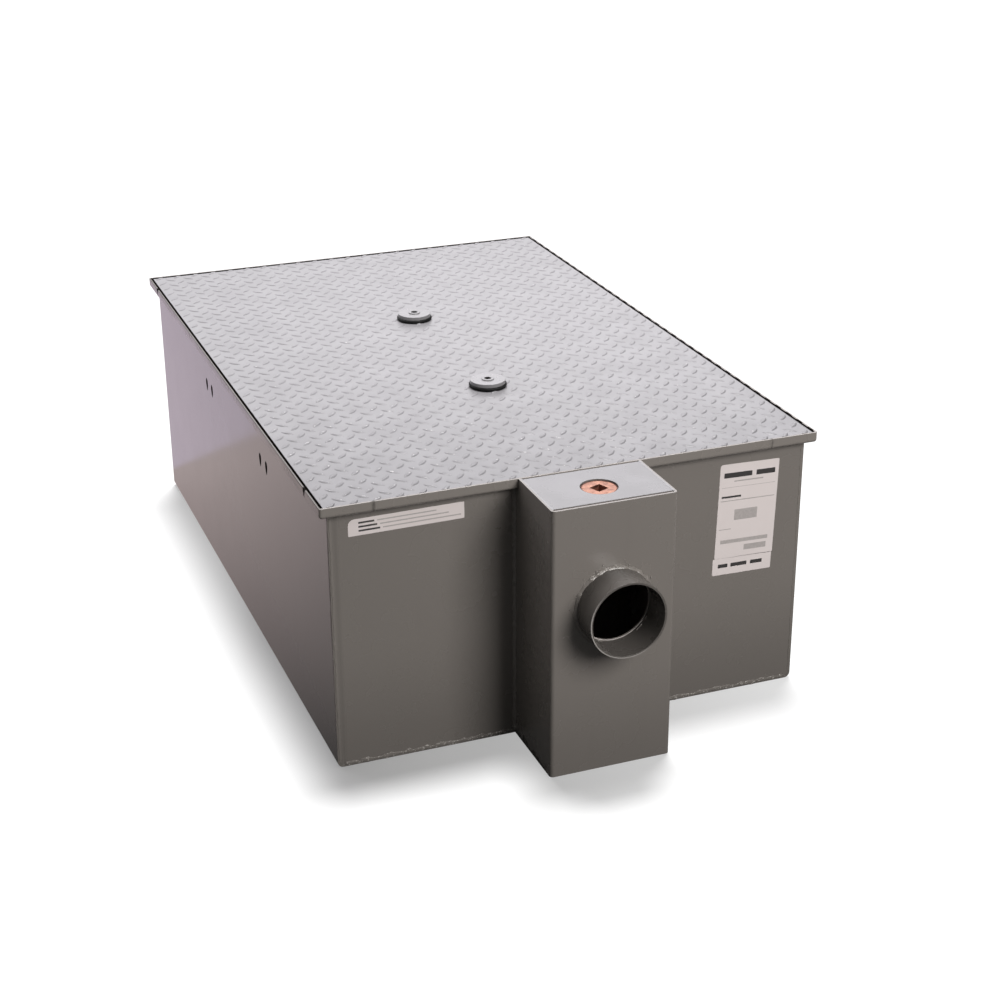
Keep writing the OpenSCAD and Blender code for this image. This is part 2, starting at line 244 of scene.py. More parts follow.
def inside(tree, value, start, end, soft=0.1 * MM):
    """1 where a value lies between start and end, with soft ends."""
    rising = ramp(tree, value, start - soft, start + soft)
    return times(tree, rising, fall(tree, value, end - soft, end + soft))


def mixed(tree, factor, a, b):
    """Two colours mixed by a factor."""
    made = tree.nodes.new("ShaderNodeMix")
    made.data_type = "RGBA"
    put(tree, made.inputs[0], factor)
    put(tree, made.inputs[6], a)
    put(tree, made.inputs[7], b)
    return made.outputs[2]


def noise(tree, place, scale, detail=3.0, roughness=0.5):
    """Cloudy values about a half."""
    made = add(tree, "TexNoise", Vector=place, Scale=scale, Detail=detail, Roughness=roughness)
    return made.outputs["Fac"]


def stretched(tree, place, x, y, z):
    """Object coordinates scaled along each axis, so that a pattern runs long where the factor is small."""
    return add(tree, "Mapping", Vector=place, Scale=(x, y, z)).outputs["Vector"]


def shade(colour, factor):
    """A colour made darker or lighter by a factor."""
    return tuple(c * factor for c in colour[:3]) + (1.0,)


# Colours
ENAMEL = (0.190, 0.174, 0.160, 1.0)
# The walls' enamel made lighter and cooler for the cover: partly painted light, standing for the stronger
# light on top.
COVER_ENAMEL = (0.223, 0.219, 0.225, 1.0)
# Near-black: grime at the outlet box's foot, and painted shade in the gaps and recesses of the cover, frame
# and discs. The enamel also darkens with it towards the bottom.
GRIME_AND_SHADE = (0.012, 0.011, 0.010, 1.0)
# Painted shade on the walls, beside the left upright weld and round the slots.
WALL_SHADE = (0.014, 0.010, 0.008, 1.0)
# Painted shade in the wall slots, on the crossbar tabs.
TAB_SHADE = (0.006, 0.004, 0.004, 1.0)
# Darker colour for the box top's grooves and hole.
GROOVE_DARK = (0.15, 0.135, 0.13, 1.0)
# Painted highlight on the lugs' tops.
PAINTED_LUG_GLINT = (0.80, 0.79, 0.79, 1.0)
# Painted highlights on the welds.
WELD_GLINT = (0.66, 0.63, 0.60, 1.0)
# Painted highlight on the pipe stubs' cut ends.
END_HIGHLIGHT = (0.42, 0.40, 0.38, 1.0)
# Painted highlight on the lip inside the outlet stub.
LIP_HIGHLIGHT = (0.50, 0.47, 0.45, 1.0)

# Sizes in the paint
EDGE_ROUND = 0.9 * MM
PAINT_EDGE = 0.2 * MM
SLOT_SHADE_H = 11.5 * MM
SLOT_SHADE_W = (4.0 * MM, 8.5 * MM)


def enamel(name, base, gloss=(0.22, 0.30), blotch=0.04, wave=0.12, marks=()):
    """Sprayed enamel over mill sheet: cloudy colour, faint runs, orange peel, slow sheet wave, eased edges.
    Each mark gives the share and colour of its overlay, from the tree, the x, y and z coordinates and their
    vector:
    a stain or dirt for some marks, painted light and shade for others. A mark dulls the paint too: it is
    rougher and shines less."""
    mat, tree, bsdf = new_material(name)
    place = add(tree, "TexCoord").outputs["Object"]
    cloud = noise(tree, place, 5.0, 5.0, 0.6)
    runs = noise(tree, stretched(tree, place, 1.0, 1.0, 0.08), 38.0, 3.0)
    specks = noise(tree, place, 420.0, 1.0)
    tone = mixed(tree, cloud, shade(base, 1 - blotch), shade(base, 1 + blotch))
    tone = mixed(tree, ramp(tree, runs, 0.55, 0.8, 0.0, 0.06), tone, shade(base, 0.72))
    tone = mixed(tree, ramp(tree, specks, 0.72, 0.80, 0.0, 0.2), tone, shade(base, 1.4))
    axes = add(tree, "SeparateXYZ", Vector=place)
    # Darker towards the bottom: up to 0.24 near-black at z = 0, fading out by 0.2 m up.
    tone = mixed(tree, fall(tree, axes.outputs["Z"], 0.0, 0.20, 0.24), tone, GRIME_AND_SHADE)
    rough = ramp(tree, noise(tree, place, 17.0, 4.0), 0.3, 0.7, *gloss)
    shine = 0.5
    for mark in marks:
        # stain holds each mark's colour: a real stain or dirt for some marks, painted light and shade for
        # others.
        share, stain = mark(tree, axes.outputs["X"], axes.outputs["Y"], axes.outputs["Z"], place)
        tone = mixed(tree, share, tone, stain)
        rough = plus(tree, rough, times(tree, share, 0.4))
        shine = times(tree, shine, less(tree, 1.0, share))
    put(tree, bsdf.inputs["Specular IOR Level"], shine)
    put(tree, bsdf.inputs["Base Color"], tone)
    put(tree, bsdf.inputs["Roughness"], rough)
    bsdf.inputs["IOR"].default_value = 1.5
    edge = add(tree, "Bevel", Radius=EDGE_ROUND)
    edge.samples = 4
    sheet = add(tree, "Bump", Strength=wave, Distance=3 * MM, Height=noise(tree, place, 4.0, 1.0),
                Normal=edge.outputs["Normal"])
    peel = add(tree, "Bump", Strength=0.05, Distance=0.2 * MM, Height=noise(tree, place, 520.0, 2.0),
               Normal=sheet.outputs["Normal"])
    put(tree, bsdf.inputs["Normal"], peel.outputs["Normal"])
    return mat


def rubber(name):
    """Black rubber: dull, with a dusty bloom and a fine grain."""
    mat, tree, bsdf = new_material(name)
    place = add(tree, "TexCoord").outputs["Object"]
    bloom = ramp(tree, noise(tree, place, 60.0, 4.0), 0.45, 0.8)
    tone = mixed(tree, bloom, (0.004, 0.004, 0.004, 1), (0.012, 0.012, 0.012, 1))
    put(tree, bsdf.inputs["Base Color"], tone)
    put(tree, bsdf.inputs["Roughness"], ramp(tree, noise(tree, place, 200.0), 0.3, 0.7, 0.5, 0.7))
    bsdf.inputs["Specular IOR Level"].default_value = 0.25
    grain = add(tree, "Bump", Strength=0.25, Distance=0.2 * MM, Height=noise(tree, place, 900.0))
    put(tree, bsdf.inputs["Normal"], grain.outputs["Normal"])
    return mat


def turned_bronze(name):
    """Machined bronze: rings round the plug's axis, warm blush, brown smudges and rim, dull in the socket."""
    mat, tree, bsdf = new_material(name)
    place = add(tree, "TexCoord").outputs["Object"]
    centred = add(tree, "Mapping", Vector=place, Location=(0.0, -PLUG_Y, 0.0)).outputs["Vector"]
    axes = add(tree, "SeparateXYZ", Vector=centred)
    out = radius(tree, axes.outputs["X"], axes.outputs["Y"])
    rings = calc(tree, "SINE", times(tree, out, 2 * math.pi / (0.7 * MM)))
    blush = ramp(tree, noise(tree, place, 95.0, 4.0), 0.3, 0.7)
    tone = mixed(tree, blush, (0.26, 0.128, 0.090, 1), (0.38, 0.210, 0.155, 1))
    sunk = ramp(tree, axes.outputs["Z"], PLUG_TOP - 1.0 * MM, PLUG_TOP - 8.0 * MM)
    rim = ramp(tree, out, PLUG_R - 2.0 * MM, PLUG_R - 1.2 * MM)
    streaks = noise(tree, stretched(tree, place, 1.0, 2.0, 1.0), 140.0, 3.0)
    smudge = ramp(tree, streaks, 0.56, 0.70, 0.0, 0.7)
    tone = mixed(tree, most(tree, rim, smudge), tone, (0.11, 0.046, 0.032, 1))
    put(tree, bsdf.inputs["Base Color"], mixed(tree, sunk, tone, (0.20, 0.070, 0.045, 1)))
    put(tree, bsdf.inputs["Metallic"], ramp(tree, sunk, 0.0, 1.0, 1.0, 0.2))
    put(tree, bsdf.inputs["Roughness"], ramp(tree, blush, 0.3, 0.7, 0.40, 0.55))
    edge = add(tree, "Bevel", Radius=0.5 * MM)
    edge.samples = 4
    cut = add(tree, "Bump", Strength=0.25, Distance=0.05 * MM, Height=rings, Normal=edge.outputs["Normal"])
    put(tree, bsdf.inputs["Normal"], cut.outputs["Normal"])
    return mat


def bare_steel(name):
    """Bare machined steel with a little brown stain."""
    mat, tree, bsdf = new_material(name)
    place = add(tree, "TexCoord").outputs["Object"]
    stain = ramp(tree, noise(tree, place, 45.0, 5.0), 0.5, 0.75)
    put(tree, bsdf.inputs["Base Color"], mixed(tree, stain, (0.46, 0.46, 0.47, 1), (0.24, 0.17, 0.12, 1)))
    put(tree, bsdf.inputs["Metallic"], ramp(tree, stain, 0.0, 1.0, 1.0, 0.4))
    put(tree, bsdf.inputs["Roughness"], ramp(tree, stain, 0.0, 1.0, 0.34, 0.65))
    grain = add(tree, "Bump", Strength=0.2, Distance=0.1 * MM, Height=noise(tree, place, 1200.0))
    put(tree, bsdf.inputs["Normal"], grain.outputs["Normal"])
    return mat


def label_film(name):
    """Off-white label film, a little yellowed in places, with a soft gloss."""
    mat, tree, bsdf = new_material(name)
    place = add(tree, "TexCoord").outputs["Object"]
    age = noise(tree, place, 22.0, 4.0)
    tone = mixed(tree, age, (0.745, 0.685, 0.675, 1), (0.685, 0.625, 0.615, 1))
    put(tree, bsdf.inputs["Base Color"], tone)
    put(tree, bsdf.inputs["Roughness"], ramp(tree, age, 0.3, 0.7, 0.32, 0.45))
    crease = add(tree, "Bump", Strength=0.15, Distance=0.3 * MM, Height=noise(tree, place, 60.0, 2.0))
    put(tree, bsdf.inputs["Normal"], crease.outputs["Normal"])
    return mat


# Marks in the paint: stains and dirt, and painted light and shade

def sheared_edge_and_gap_shade(tree, x, y, z, place):
    """Dark sides of the cover below its top edge, partly bare sheared steel and partly painted shade of the
    gap to the frame, and a strip of painted shade along the top of its left edge.
    """
    mid_y = (COVER_LOW[1] + COVER_HIGH[1]) / 2
    side_x = COVER_HIGH[0] - 0.6 * MM
    side_y = COVER_HIGH[1] - mid_y - 0.6 * MM
    sides = most(tree, ramp(tree, unsigned(tree, x), side_x, side_x + 0.3 * MM),
                 ramp(tree, unsigned(tree, less(tree, y, mid_y)), side_y, side_y + 0.3 * MM))
    sides = times(tree, sides, fall(tree, z, PLATE_TOP - 0.5 * MM, PLATE_TOP - 0.2 * MM))
    # Painted shade: the dark left gap drawn over the cover's left edge.
    edge_shade = fall(tree, x, COVER_LOW[0] + 1.0 * MM, COVER_LOW[0] + 1.8 * MM)
    return most(tree, sides, edge_shade), GRIME_AND_SHADE


def painted_lug_glints(tree, x, y, z, place):
    """Painted highlights: bright specks on the tops of the lugs, towards the outlet and the left."""
    top = ramp(tree, z, PLATE_TOP + 0.7 * LUG_RISE, PLATE_TOP + 0.8 * LUG_RISE)
    away = plus(tree, y, times(tree, x, 0.8))
    start = ramp(tree, away, -0.75, 0.1, 0.64, 0.74, smooth=False)
    speck = ramp(tree, less(tree, noise(tree, place, 260.0, 1.0), start), 0.0, 0.04, 0.0, 0.6)
    return times(tree, top, speck), PAINTED_LUG_GLINT


def frame_gap_shade(tree, x, y, z):
    """Share of painted shade in the gap round the cover: inside the frame's upstand, fading across its ledge,
    over and dulling the left upstand's edge, and in dashes over the right one's."""
    inner_x, inner_y = RIM_X - RIM_T, RIM_Y - RIM_T
    from_x, from_y = unsigned(tree, x), unsigned(tree, y)
    within = times(tree, fall(tree, from_x, inner_x, inner_x + PAINT_EDGE),
                   fall(tree, from_y, inner_y, inner_y + PAINT_EDGE),
                   fall(tree, z, RIM_TOP - 2 * PAINT_EDGE, RIM_TOP - PAINT_EDGE))
    close = most(tree, ramp(tree, from_x, inner_x - 14 * MM, inner_x - 3 * MM, 0.2, 1.0),
                 ramp(tree, from_y, inner_y - 14 * MM, inner_y - 3 * MM, 0.2, 1.0))
    left = most(tree, inside(tree, x, -inner_x - 0.8 * MM, -inner_x + RIM_T),
                fall(tree, x, -inner_x, -inner_x + PAINT_EDGE, 0.5))
    # Painted shade in dashes at the lugs' pitch.
    dashes = ramp(tree, calc(tree, "SINE", times(tree, y, 2 * math.pi / LUG_PITCH)), -0.3, 0.3)
    right = times(tree, inside(tree, x, inner_x - RIM_T, inner_x + 1.4 * MM), dashes)
    edge_shade = times(tree, most(tree, left, right), fall(tree, from_y, inner_y - PAINT_EDGE, inner_y),
                    ramp(tree, z, RIM_TOP - 2 * MM, RIM_TOP - 1 * MM))
    return most(tree, times(tree, within, close), edge_shade)


def splices(tree, x, y, z, place):
    """Share of dark splices: soft ragged smears in front and behind, darkest at the top, wedges of painted
    shade on the left that stand for open gaps, and fine lines on the right."""
    from_joint = unsigned(tree, less(tree, unsigned(tree, x), SPLICE_X))
    ragged = ramp(tree, noise(tree, stretched(tree, place, 1.0, 1.0, 0.3), 160.0), 0.35, 0.6)
    smear = times(tree, fall(tree, from_joint, 0.5 * MM, 4.5 * MM, 0.55), ragged,
                  ramp(tree, z, RIM_TOP - 18 * MM, RIM_TOP - 3 * MM, 0.25, 1.0))
    # Painted shade: a wedge that widens to the top, on the left only, drawn as an open gap.
    wedge = ramp(tree, z, WALL_TOP + 2 * MM, RIM_TOP, 0.3 * MM, 6.0 * MM, smooth=False)
    opening = most(tree, times(tree, wedge, calc(tree, "LESS_THAN", x, 0.0)), 0.4 * MM)
    from_joint = unsigned(tree, less(tree, unsigned(tree, y), SPLICE_Y))
    return most(tree, smear, calc(tree, "LESS_THAN", from_joint, opening))


def frame_shade_and_splices(tree, x, y, z, place):
    """Painted shade in the gap round the cover, and dark splices on the frame."""
    return most(tree, frame_gap_shade(tree, x, y, z), splices(tree, x, y, z, place)), GRIME_AND_SHADE


def plate_grooves(tree, x, y, z, place):
    """Darker in the grooves of the box's top plate and down its hole, but not in its painted side joints."""
    joint_x = BOX_X - SHEET
    sunk = fall(tree, z, RIM_TOP - 0.7 * MM, RIM_TOP - 0.3 * MM)
    between = fall(tree, unsigned(tree, x), joint_x - 2.5 * MM, joint_x - 1.5 * MM)
    hole = fall(tree, radius(tree, x, less(tree, y, PLUG_Y)), PLUG_R + 1.2 * MM, PLUG_R + 1.6 * MM)
    return most(tree, times(tree, sunk, between), hole), GROOVE_DARK


def tab_end_shade(tree, x, y, z, place):
    """Painted shade: crossbar tabs near-black where they lie in the wall slots, so that the slots read as
    dark recesses.
    """
    return ramp(tree, unsigned(tree, x), WALL_X - SHEET - 0.5 * MM, WALL_X - SHEET), TAB_SHADE


def painted_wall_shade(tree, x, y, z, place):
    """Painted shade: a thin dark line beside the left upright weld at the outlet end, and dark patches round
    the slots, each an ellipse that widens upwards."""
    ragged = ramp(tree, noise(tree, place, 60.0), 0.3, 0.7, 2 * MM, 6 * MM)
    near = fall(tree, less(tree, less(tree, y, FRONT_Y), ragged), -1 * MM, 1 * MM)
    left = fall(tree, x, -WALL_X + 0.3 * MM, -WALL_X + 0.6 * MM, 0.6)
    share = times(tree, near, left, ramp(tree, z, 0.02, 0.30, 0.3, 1.0))
    up = calc(tree, "DIVIDE", less(tree, z, SLOT_Z), SLOT_SHADE_H)
    wide = ramp(tree, up, -1.0, 0.9, *SLOT_SHADE_W, smooth=False)
    for slot_y in SLOT_Y:
        over = calc(tree, "DIVIDE", less(tree, y, slot_y), wide)
        span = plus(tree, times(tree, over, over), times(tree, up, up))
        share = most(tree, share, fall(tree, span, 0.75, 1.15))
    return share, WALL_SHADE


def flange_shade(tree, x, y, z, place):
    """Painted shade for the rounded left edge of the outlet end plate: a dark line at the edge, and a soft
    one where the rounding turns flat again.
    """
    line = times(tree, inside(tree, x, -WALL_X, -WALL_X + 1.2 * MM, 0.4 * MM), 0.7)
    fade = times(tree, inside(tree, x, -WALL_X + 8 * MM, -WALL_X + 13 * MM, 4 * MM), 0.3)
    return most(tree, line, fade), shade(ENAMEL, 0.5)


def flange_highlight(tree, x, y, z, place):
    """Painted highlight: a lighter band down the rounded left edge of the outlet end plate."""
    band = inside(tree, x, -WALL_X + 3.0 * MM, -WALL_X + 5.5 * MM, 1.5 * MM)
    return times(tree, band, 0.12), shade(ENAMEL, 1.5)


def disc_socket_shade(tree, x, y, z, place):
    """Painted shade: dark sockets in the bosses of the hold-down discs."""
    top = high("hold_down_bolt_outlet")[2]
    holes = [fall(tree, radius(tree, x, less(tree, y, bolt_y)), 6.2 * MM, 6.8 * MM)
             for bolt_y in BOLT_Y.values()]
    return times(tree, most(tree, *holes), inside(tree, z, top - 20 * MM, top - 0.6 * MM)), GRIME_AND_SHADE


def pipe_end_highlight(tree, x, y, z, place):
    """Painted highlight on the outer edge of a pipe stub's cut end, most of all at its lower left."""
    far_end = high("inlet_pipe")[1]
    up = less(tree, z, PIPE_Z)
    outer = ramp(tree, radius(tree, x, up), PIPE_R - 1.6 * MM, PIPE_R - 1.2 * MM)
    lower_left = fall(tree, plus(tree, x, up), -0.9 * PIPE_R, 0.3 * PIPE_R, 0.85)
    cut = most(tree, fall(tree, y, PIPE_END + 0.4 * MM, PIPE_END + 0.8 * MM),
               ramp(tree, y, far_end - 0.8 * MM, far_end - 0.4 * MM))
    return times(tree, outer, lower_left, cut), END_HIGHLIGHT


def weld_glints(tree, x, y, z, place):
    """Painted highlights: bright flecks on the welds along the floor, and at the stub's upper left."""
    stub = times(tree, inside(tree, x, -40 * MM, 6 * MM, 4 * MM),
                 ramp(tree, z, PIPE_Z + 36 * MM, PIPE_Z + 46 * MM),
                 fall(tree, z, PIPE_Z + 80 * MM, PIPE_Z + 90 * MM))
    floor_seam = fall(tree, z, 10 * MM, 16 * MM, 0.6)
    flecks = ramp(tree, noise(tree, place, 330.0, 2.0), 0.58, 0.66, 0.0, 0.8)
    return times(tree, flecks, most(tree, stub, floor_seam)), WELD_GLINT


def lip_highlight(tree, x, y, z, place):
    """Painted highlight on the lip of the plate inside the outlet stub."""
    front = fall(tree, y, BOX_Y + 0.3 * MM, BOX_Y + 0.8 * MM)
    lip = inside(tree, radius(tree, x, less(tree, z, PIPE_Z)), PIPE_BORE - 2 * MM, PIPE_BORE + 0.1 * MM)
    return times(tree, front, lip), LIP_HIGHLIGHT


def box_foot(tree, x, y, z, place):
    """Dark ragged weld stain along the foot of the outlet box's left side."""
    ragged = ramp(tree, noise(tree, place, 70.0), 0.35, 0.7, 2 * MM, 14 * MM)
    foot = fall(tree, less(tree, z, ragged), -2 * MM, 2 * MM, 0.6)
    return times(tree, foot, fall(tree, x, -BOX_X + 0.4 * MM, -BOX_X + 0.8 * MM)), GRIME_AND_SHADE


# Finishes

enamel_finish = enamel("grey_enamel", ENAMEL)
cover_finish = enamel("cover_enamel", COVER_ENAMEL, gloss=(0.30, 0.40), marks=(sheared_edge_and_gap_shade, painted_lug_glints))
# Painted shade: the discs' copy of the cover enamel, a tenth darker.
disc_finish = enamel("disc_enamel", shade(COVER_ENAMEL, 0.9), gloss=(0.22, 0.32), marks=(disc_socket_shade,))
# Painted shade: the box top's copy of the cover enamel, darkened to 0.69.
box_top_finish = enamel("box_top_enamel", shade(COVER_ENAMEL, 0.69), gloss=(0.22, 0.32),
                        marks=(plate_grooves,))
# Painted light: the frame's copy of the wall enamel, lightened by 1.16.
rim_finish = enamel("frame_enamel", shade(ENAMEL, 1.16), marks=(frame_shade_and_splices,))
# Painted light: the welds' copy of the wall enamel, a little lighter.
weld_finish = enamel("weld_enamel", shade(ENAMEL, 1.05), marks=(weld_glints,))
bar_finish = enamel("crossbar_enamel", ENAMEL, marks=(tab_end_shade,))
# Painted shade: the pipe stubs' copy of the wall enamel, darkened to 0.54.
pipe_finish = enamel("pipe_enamel", shade(ENAMEL, 0.54), marks=(pipe_end_highlight,))
rubber_finish = rubber("black_rubber")
bronze_finish = turned_bronze("plug_bronze")
steel_finish = bare_steel("bare_steel")
label_finish = label_film("label_film")

SLOT_FINISH = {"enamel": enamel_finish, "light_enamel": cover_finish, "steel": steel_finish,
               "rubber": rubber_finish, "bronze": bronze_finish}
OWN_FINISH = {"tank_shell": enamel("wall_enamel", ENAMEL, gloss=(0.10, 0.15), marks=(painted_wall_shade,)),
              "outlet_end_plate": enamel("end_plate_enamel", ENAMEL, marks=(flange_shade, flange_highlight)),
              "outlet_box": enamel("box_enamel", ENAMEL, marks=(lip_highlight, box_foot)),
              "outlet_box_top": box_top_finish,
              "crossbar_outlet": bar_finish, "crossbar_inlet": bar_finish,
              "outlet_pipe": pipe_finish, "inlet_pipe": pipe_finish,
              "hold_down_bolt_outlet": disc_finish, "hold_down_bolt_inlet": disc_finish}
for subpart in frame["record"]["subparts"]:
    node = subpart["node"]
    finish = OWN_FINISH.get(node, SLOT_FINISH[subpart["material_slot"]])
    solid = frame["nodes"][node]
    solid.data.materials.clear()
    solid.data.materials.append(rim_finish if node.startswith("rim_") else finish)


# Tread plate

def plate_half(y_end, y_seam, y_bolt):
    """Half of the slab: loops run from the bolt hole under the plate, round its eased edge and back over it.
    Each loop goes round the bolt, with hole and outline at the same angles, and the seam side stays open."""
    across, along = 40, 30
    xs = np.linspace(COVER_LOW[0], COVER_HIGH[0], across + 1)
    ys = np.linspace(y_end, y_seam, along + 1)
    outline = np.concatenate([
        np.stack([xs[:-1], np.full(across, y_end)], -1), np.stack([np.full(along, xs[-1]), ys[:-1]], -1),
        np.stack([xs[:0:-1], np.full(across, y_seam)], -1), np.stack([np.full(along, xs[0]), ys[:0:-1]], -1)])
    angle = np.arctan2(outline[:, 1] - y_bolt, outline[:, 0])
    hole = np.stack([BOLT_HOLE_R * np.cos(angle), y_bolt + BOLT_HOLE_R * np.sin(angle)], -1)
    inner_x = np.clip(outline[:, 0], COVER_LOW[0] + PLATE_EDGE, COVER_HIGH[0] - PLATE_EDGE)
    into = math.copysign(PLATE_EDGE, y_seam - y_end)
    inner_y = np.where(outline[:, 1] == y_end, y_end + into, outline[:, 1])
    eased = np.stack([inner_x, inner_y], -1)
    lip = hole + (eased - hole) * 0.02
    field = hole + (eased - hole) * 0.995
    bottom, top = COVER_LOW[2], PLATE_TOP
    loops = [(hole, bottom), (lip, bottom), (field, bottom), (eased, bottom), (outline, bottom + PLATE_EDGE),
             (outline, top - PLATE_EDGE), (eased, top), (field, top), (lip, top), (hole, top)]
    points = np.stack([np.column_stack([xy, np.full(len(xy), z)]) for xy, z in loops])
    faces = grid_faces(len(loops), len(outline), True, True)
    on_seam = points.reshape(-1, 3)[faces][:, :, 1] == y_seam
    return points, faces[~on_seam.all(axis=1)]


def tread_lugs():
    """Lens-shaped mounds in two crossed square grids, each in the gaps of the other.
    Along s the half width follows the arc of a lens, and t runs across it. The height rises from the lens's
    edge by a parabola over a short slope and stays level within. Mounds past an edge are cut off upright."""
    s = np.sin(np.linspace(-1, 1, 8) * math.pi / 2)
    t = np.array([-1.0, -0.8, -0.5, 0.0, 0.5, 0.8, 1.0])
    arc_r = (LUG_L ** 2 + LUG_W ** 2) / (4 * LUG_W)
    along = s * LUG_L / 2
    half_w = np.sqrt(arc_r ** 2 - along ** 2) - (arc_r - LUG_W / 2)
    sunk = 0.25 * MM
    slope = np.clip(half_w[:, None] * (1 - np.abs(t)) / LUG_SLOPE, 0, 1)
    rise = (LUG_RISE + sunk) * (1 - (1 - slope) ** 2) - sunk
    lens = np.stack([np.repeat(along[:, None], len(t), 1), np.outer(half_w, t), rise], -1)

    reach = [math.ceil((COVER_HIGH[k] - COVER_LOW[k]) / LUG_PITCH / 2) for k in (0, 1)]
    i, j, shift = np.meshgrid(np.arange(-reach[0], reach[0] + 1), np.arange(-reach[1], reach[1] + 1),
                              np.array([0, 0.5]), indexing="ij")
    mid_y = (COVER_LOW[1] + COVER_HIGH[1]) / 2
    x = ((i + shift) * LUG_PITCH).ravel()
    y = ((j + shift) * LUG_PITCH).ravel() + mid_y
    turn = (math.pi / 4 - math.pi * shift).ravel()
    kept = (np.abs(x) < COVER_HIGH[0]) & (np.abs(y - mid_y) < (COVER_HIGH[1] - COVER_LOW[1]) / 2)
    for bolt_y in BOLT_Y.values():
        kept &= np.hypot(x, y - bolt_y) > BOLT_HOLE_R + LUG_L / 2
    x, y, turn = x[kept, None, None], y[kept, None, None], turn[kept, None, None]
    points = np.stack([
        np.clip(x + lens[..., 0] * np.cos(turn) - lens[..., 1] * np.sin(turn), COVER_LOW[0], COVER_HIGH[0]),
        np.clip(y + lens[..., 0] * np.sin(turn) + lens[..., 1] * np.cos(turn), COVER_LOW[1], COVER_HIGH[1]),
        np.broadcast_to(PLATE_TOP + lens[..., 2], (len(x),) + lens.shape[:2])], -1)
    one = grid_faces(len(s), len(t), close_cols=True)
    faces = one[None] + (np.arange(len(x)) * len(s) * len(t))[:, None, None]
    return points, faces.reshape(-1, 4)


seam_y = sum(BOLT_Y.values()) / 2
tread = make_piece("tread_plate", *joined([
    plate_half(COVER_LOW[1], seam_y, BOLT_Y["outlet_bolt"]),
    plate_half(COVER_HIGH[1], seam_y, BOLT_Y["inlet_bolt"]),
    tread_lugs()]), cover_finish, "cover", "light_enamel", sharp=math.radians(50))
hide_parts("cover")


# Squeezed washers

def squeezed_washer(node, bolt_y, seed):
    """Rubber ring squeezed out from under a disc: a section with a round bulge carried round the bolt.
    The bulge's reach, its lower edge and its lip beside the disc wander, as the lugs below press into it."""
    bottom, top = low(node)[2], high(node)[2]
    steps, knots = 120, 22
    turn = np.linspace(0, 2 * math.pi, steps, endpoint=False)
    closing = np.sin(turn / 2) ** 0.5
    wave = [np.roll(wander(2 * steps, knots, seed + k), steps // 2)[:steps] * closing for k in range(3)]
    reach = high(node)[0] + 0.7 * MM * wave[0]
    sag = bottom - 0.75 * MM + 0.7 * MM * wave[1]
    lip = top + 0.1 * MM + 0.3 * MM * wave[2]
    phi = np.linspace(-math.pi / 2, math.pi / 2, 11)
    mid = ((sag + lip) / 2)[:, None]
    half = ((lip - sag) / 2)[:, None]
    bulge, bore = 2.2 * MM, 7 * MM
    column = np.ones((steps, 1))
    r = np.concatenate([column * bore, reach[:, None] - bulge + bulge * np.cos(phi),
                        column * (DISC_R - 1 * MM), column * bore], 1)
    z = np.concatenate([column * bottom, mid + half * np.sin(phi), column * top, column * top], 1)
    points = np.stack([r * np.cos(turn)[:, None], bolt_y + r * np.sin(turn)[:, None], z], -1)
    return points, grid_faces(steps, r.shape[1], True, True)


for node, body, seed in (("seal_washer_outlet", "outlet_bolt", 11), ("seal_washer_inlet", "inlet_bolt", 23)):
    ring = make_piece(node.replace("seal", "squeezed"), *squeezed_washer(node, BOLT_Y[body], seed),
                      rubber_finish, "cover", "rubber")
    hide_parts(node)


# Bolt threads

SHANK_R = 6.35 * MM
THREAD_PITCH = 1.95 * MM
THREAD_H = 0.24 * MM


def bolt_thread(node, bolt_y):
    """Thread on a shank: a tube whose radius is a blunt wave of height less turn, pulled in at both ends."""
    z = np.arange(low(node)[2] + 0.2 * MM, COVER_LOW[2] - 0.5 * MM, THREAD_PITCH / 8)
    turn = np.linspace(0, 2 * math.pi, 28, endpoint=False)
    wave = np.sin(2 * math.pi * z[:, None] / THREAD_PITCH - turn)
    r = SHANK_R + 0.03 * MM + THREAD_H * (0.5 + 0.5 * np.tanh(2 * wave) / math.tanh(2))
    r[[0, -1]] = SHANK_R * 0.6
    points = np.stack([r * np.cos(turn), bolt_y + r * np.sin(turn), np.repeat(z[:, None], len(turn), 1)], -1)
    return points, grid_faces(len(z), len(turn), close_cols=True)


for body, node in BOLT_NODE.items():
    make_piece(node + "_thread", *bolt_thread(node, BOLT_Y[body]), steel_finish, body, "steel")


# Welds

BEAD_STEP = 1.0 * MM
BEAD_SUNK = 0.6 * MM

# Half width and height of each kind of bead
UPRIGHT_BEAD = (1.5 * MM, 0.4 * MM)
FLOOR_BEAD = (3.2 * MM, 1.1 * MM)
FILLET_BEAD = (4.2 * MM, 2.0 * MM)
TOP_BEAD = (1.7 * MM, 0.25 * MM)
SPLICE_BEAD = (3.0 * MM, 0.2 * MM)


def straight(start, end):
    """Points from start to end, a step apart."""
    start, end = np.array(start, float), np.array(end, float)
    count = max(8, int(np.linalg.norm(end - start) / BEAD_STEP))
    return start + np.linspace(0, 1, count)[:, None] * (end - start)


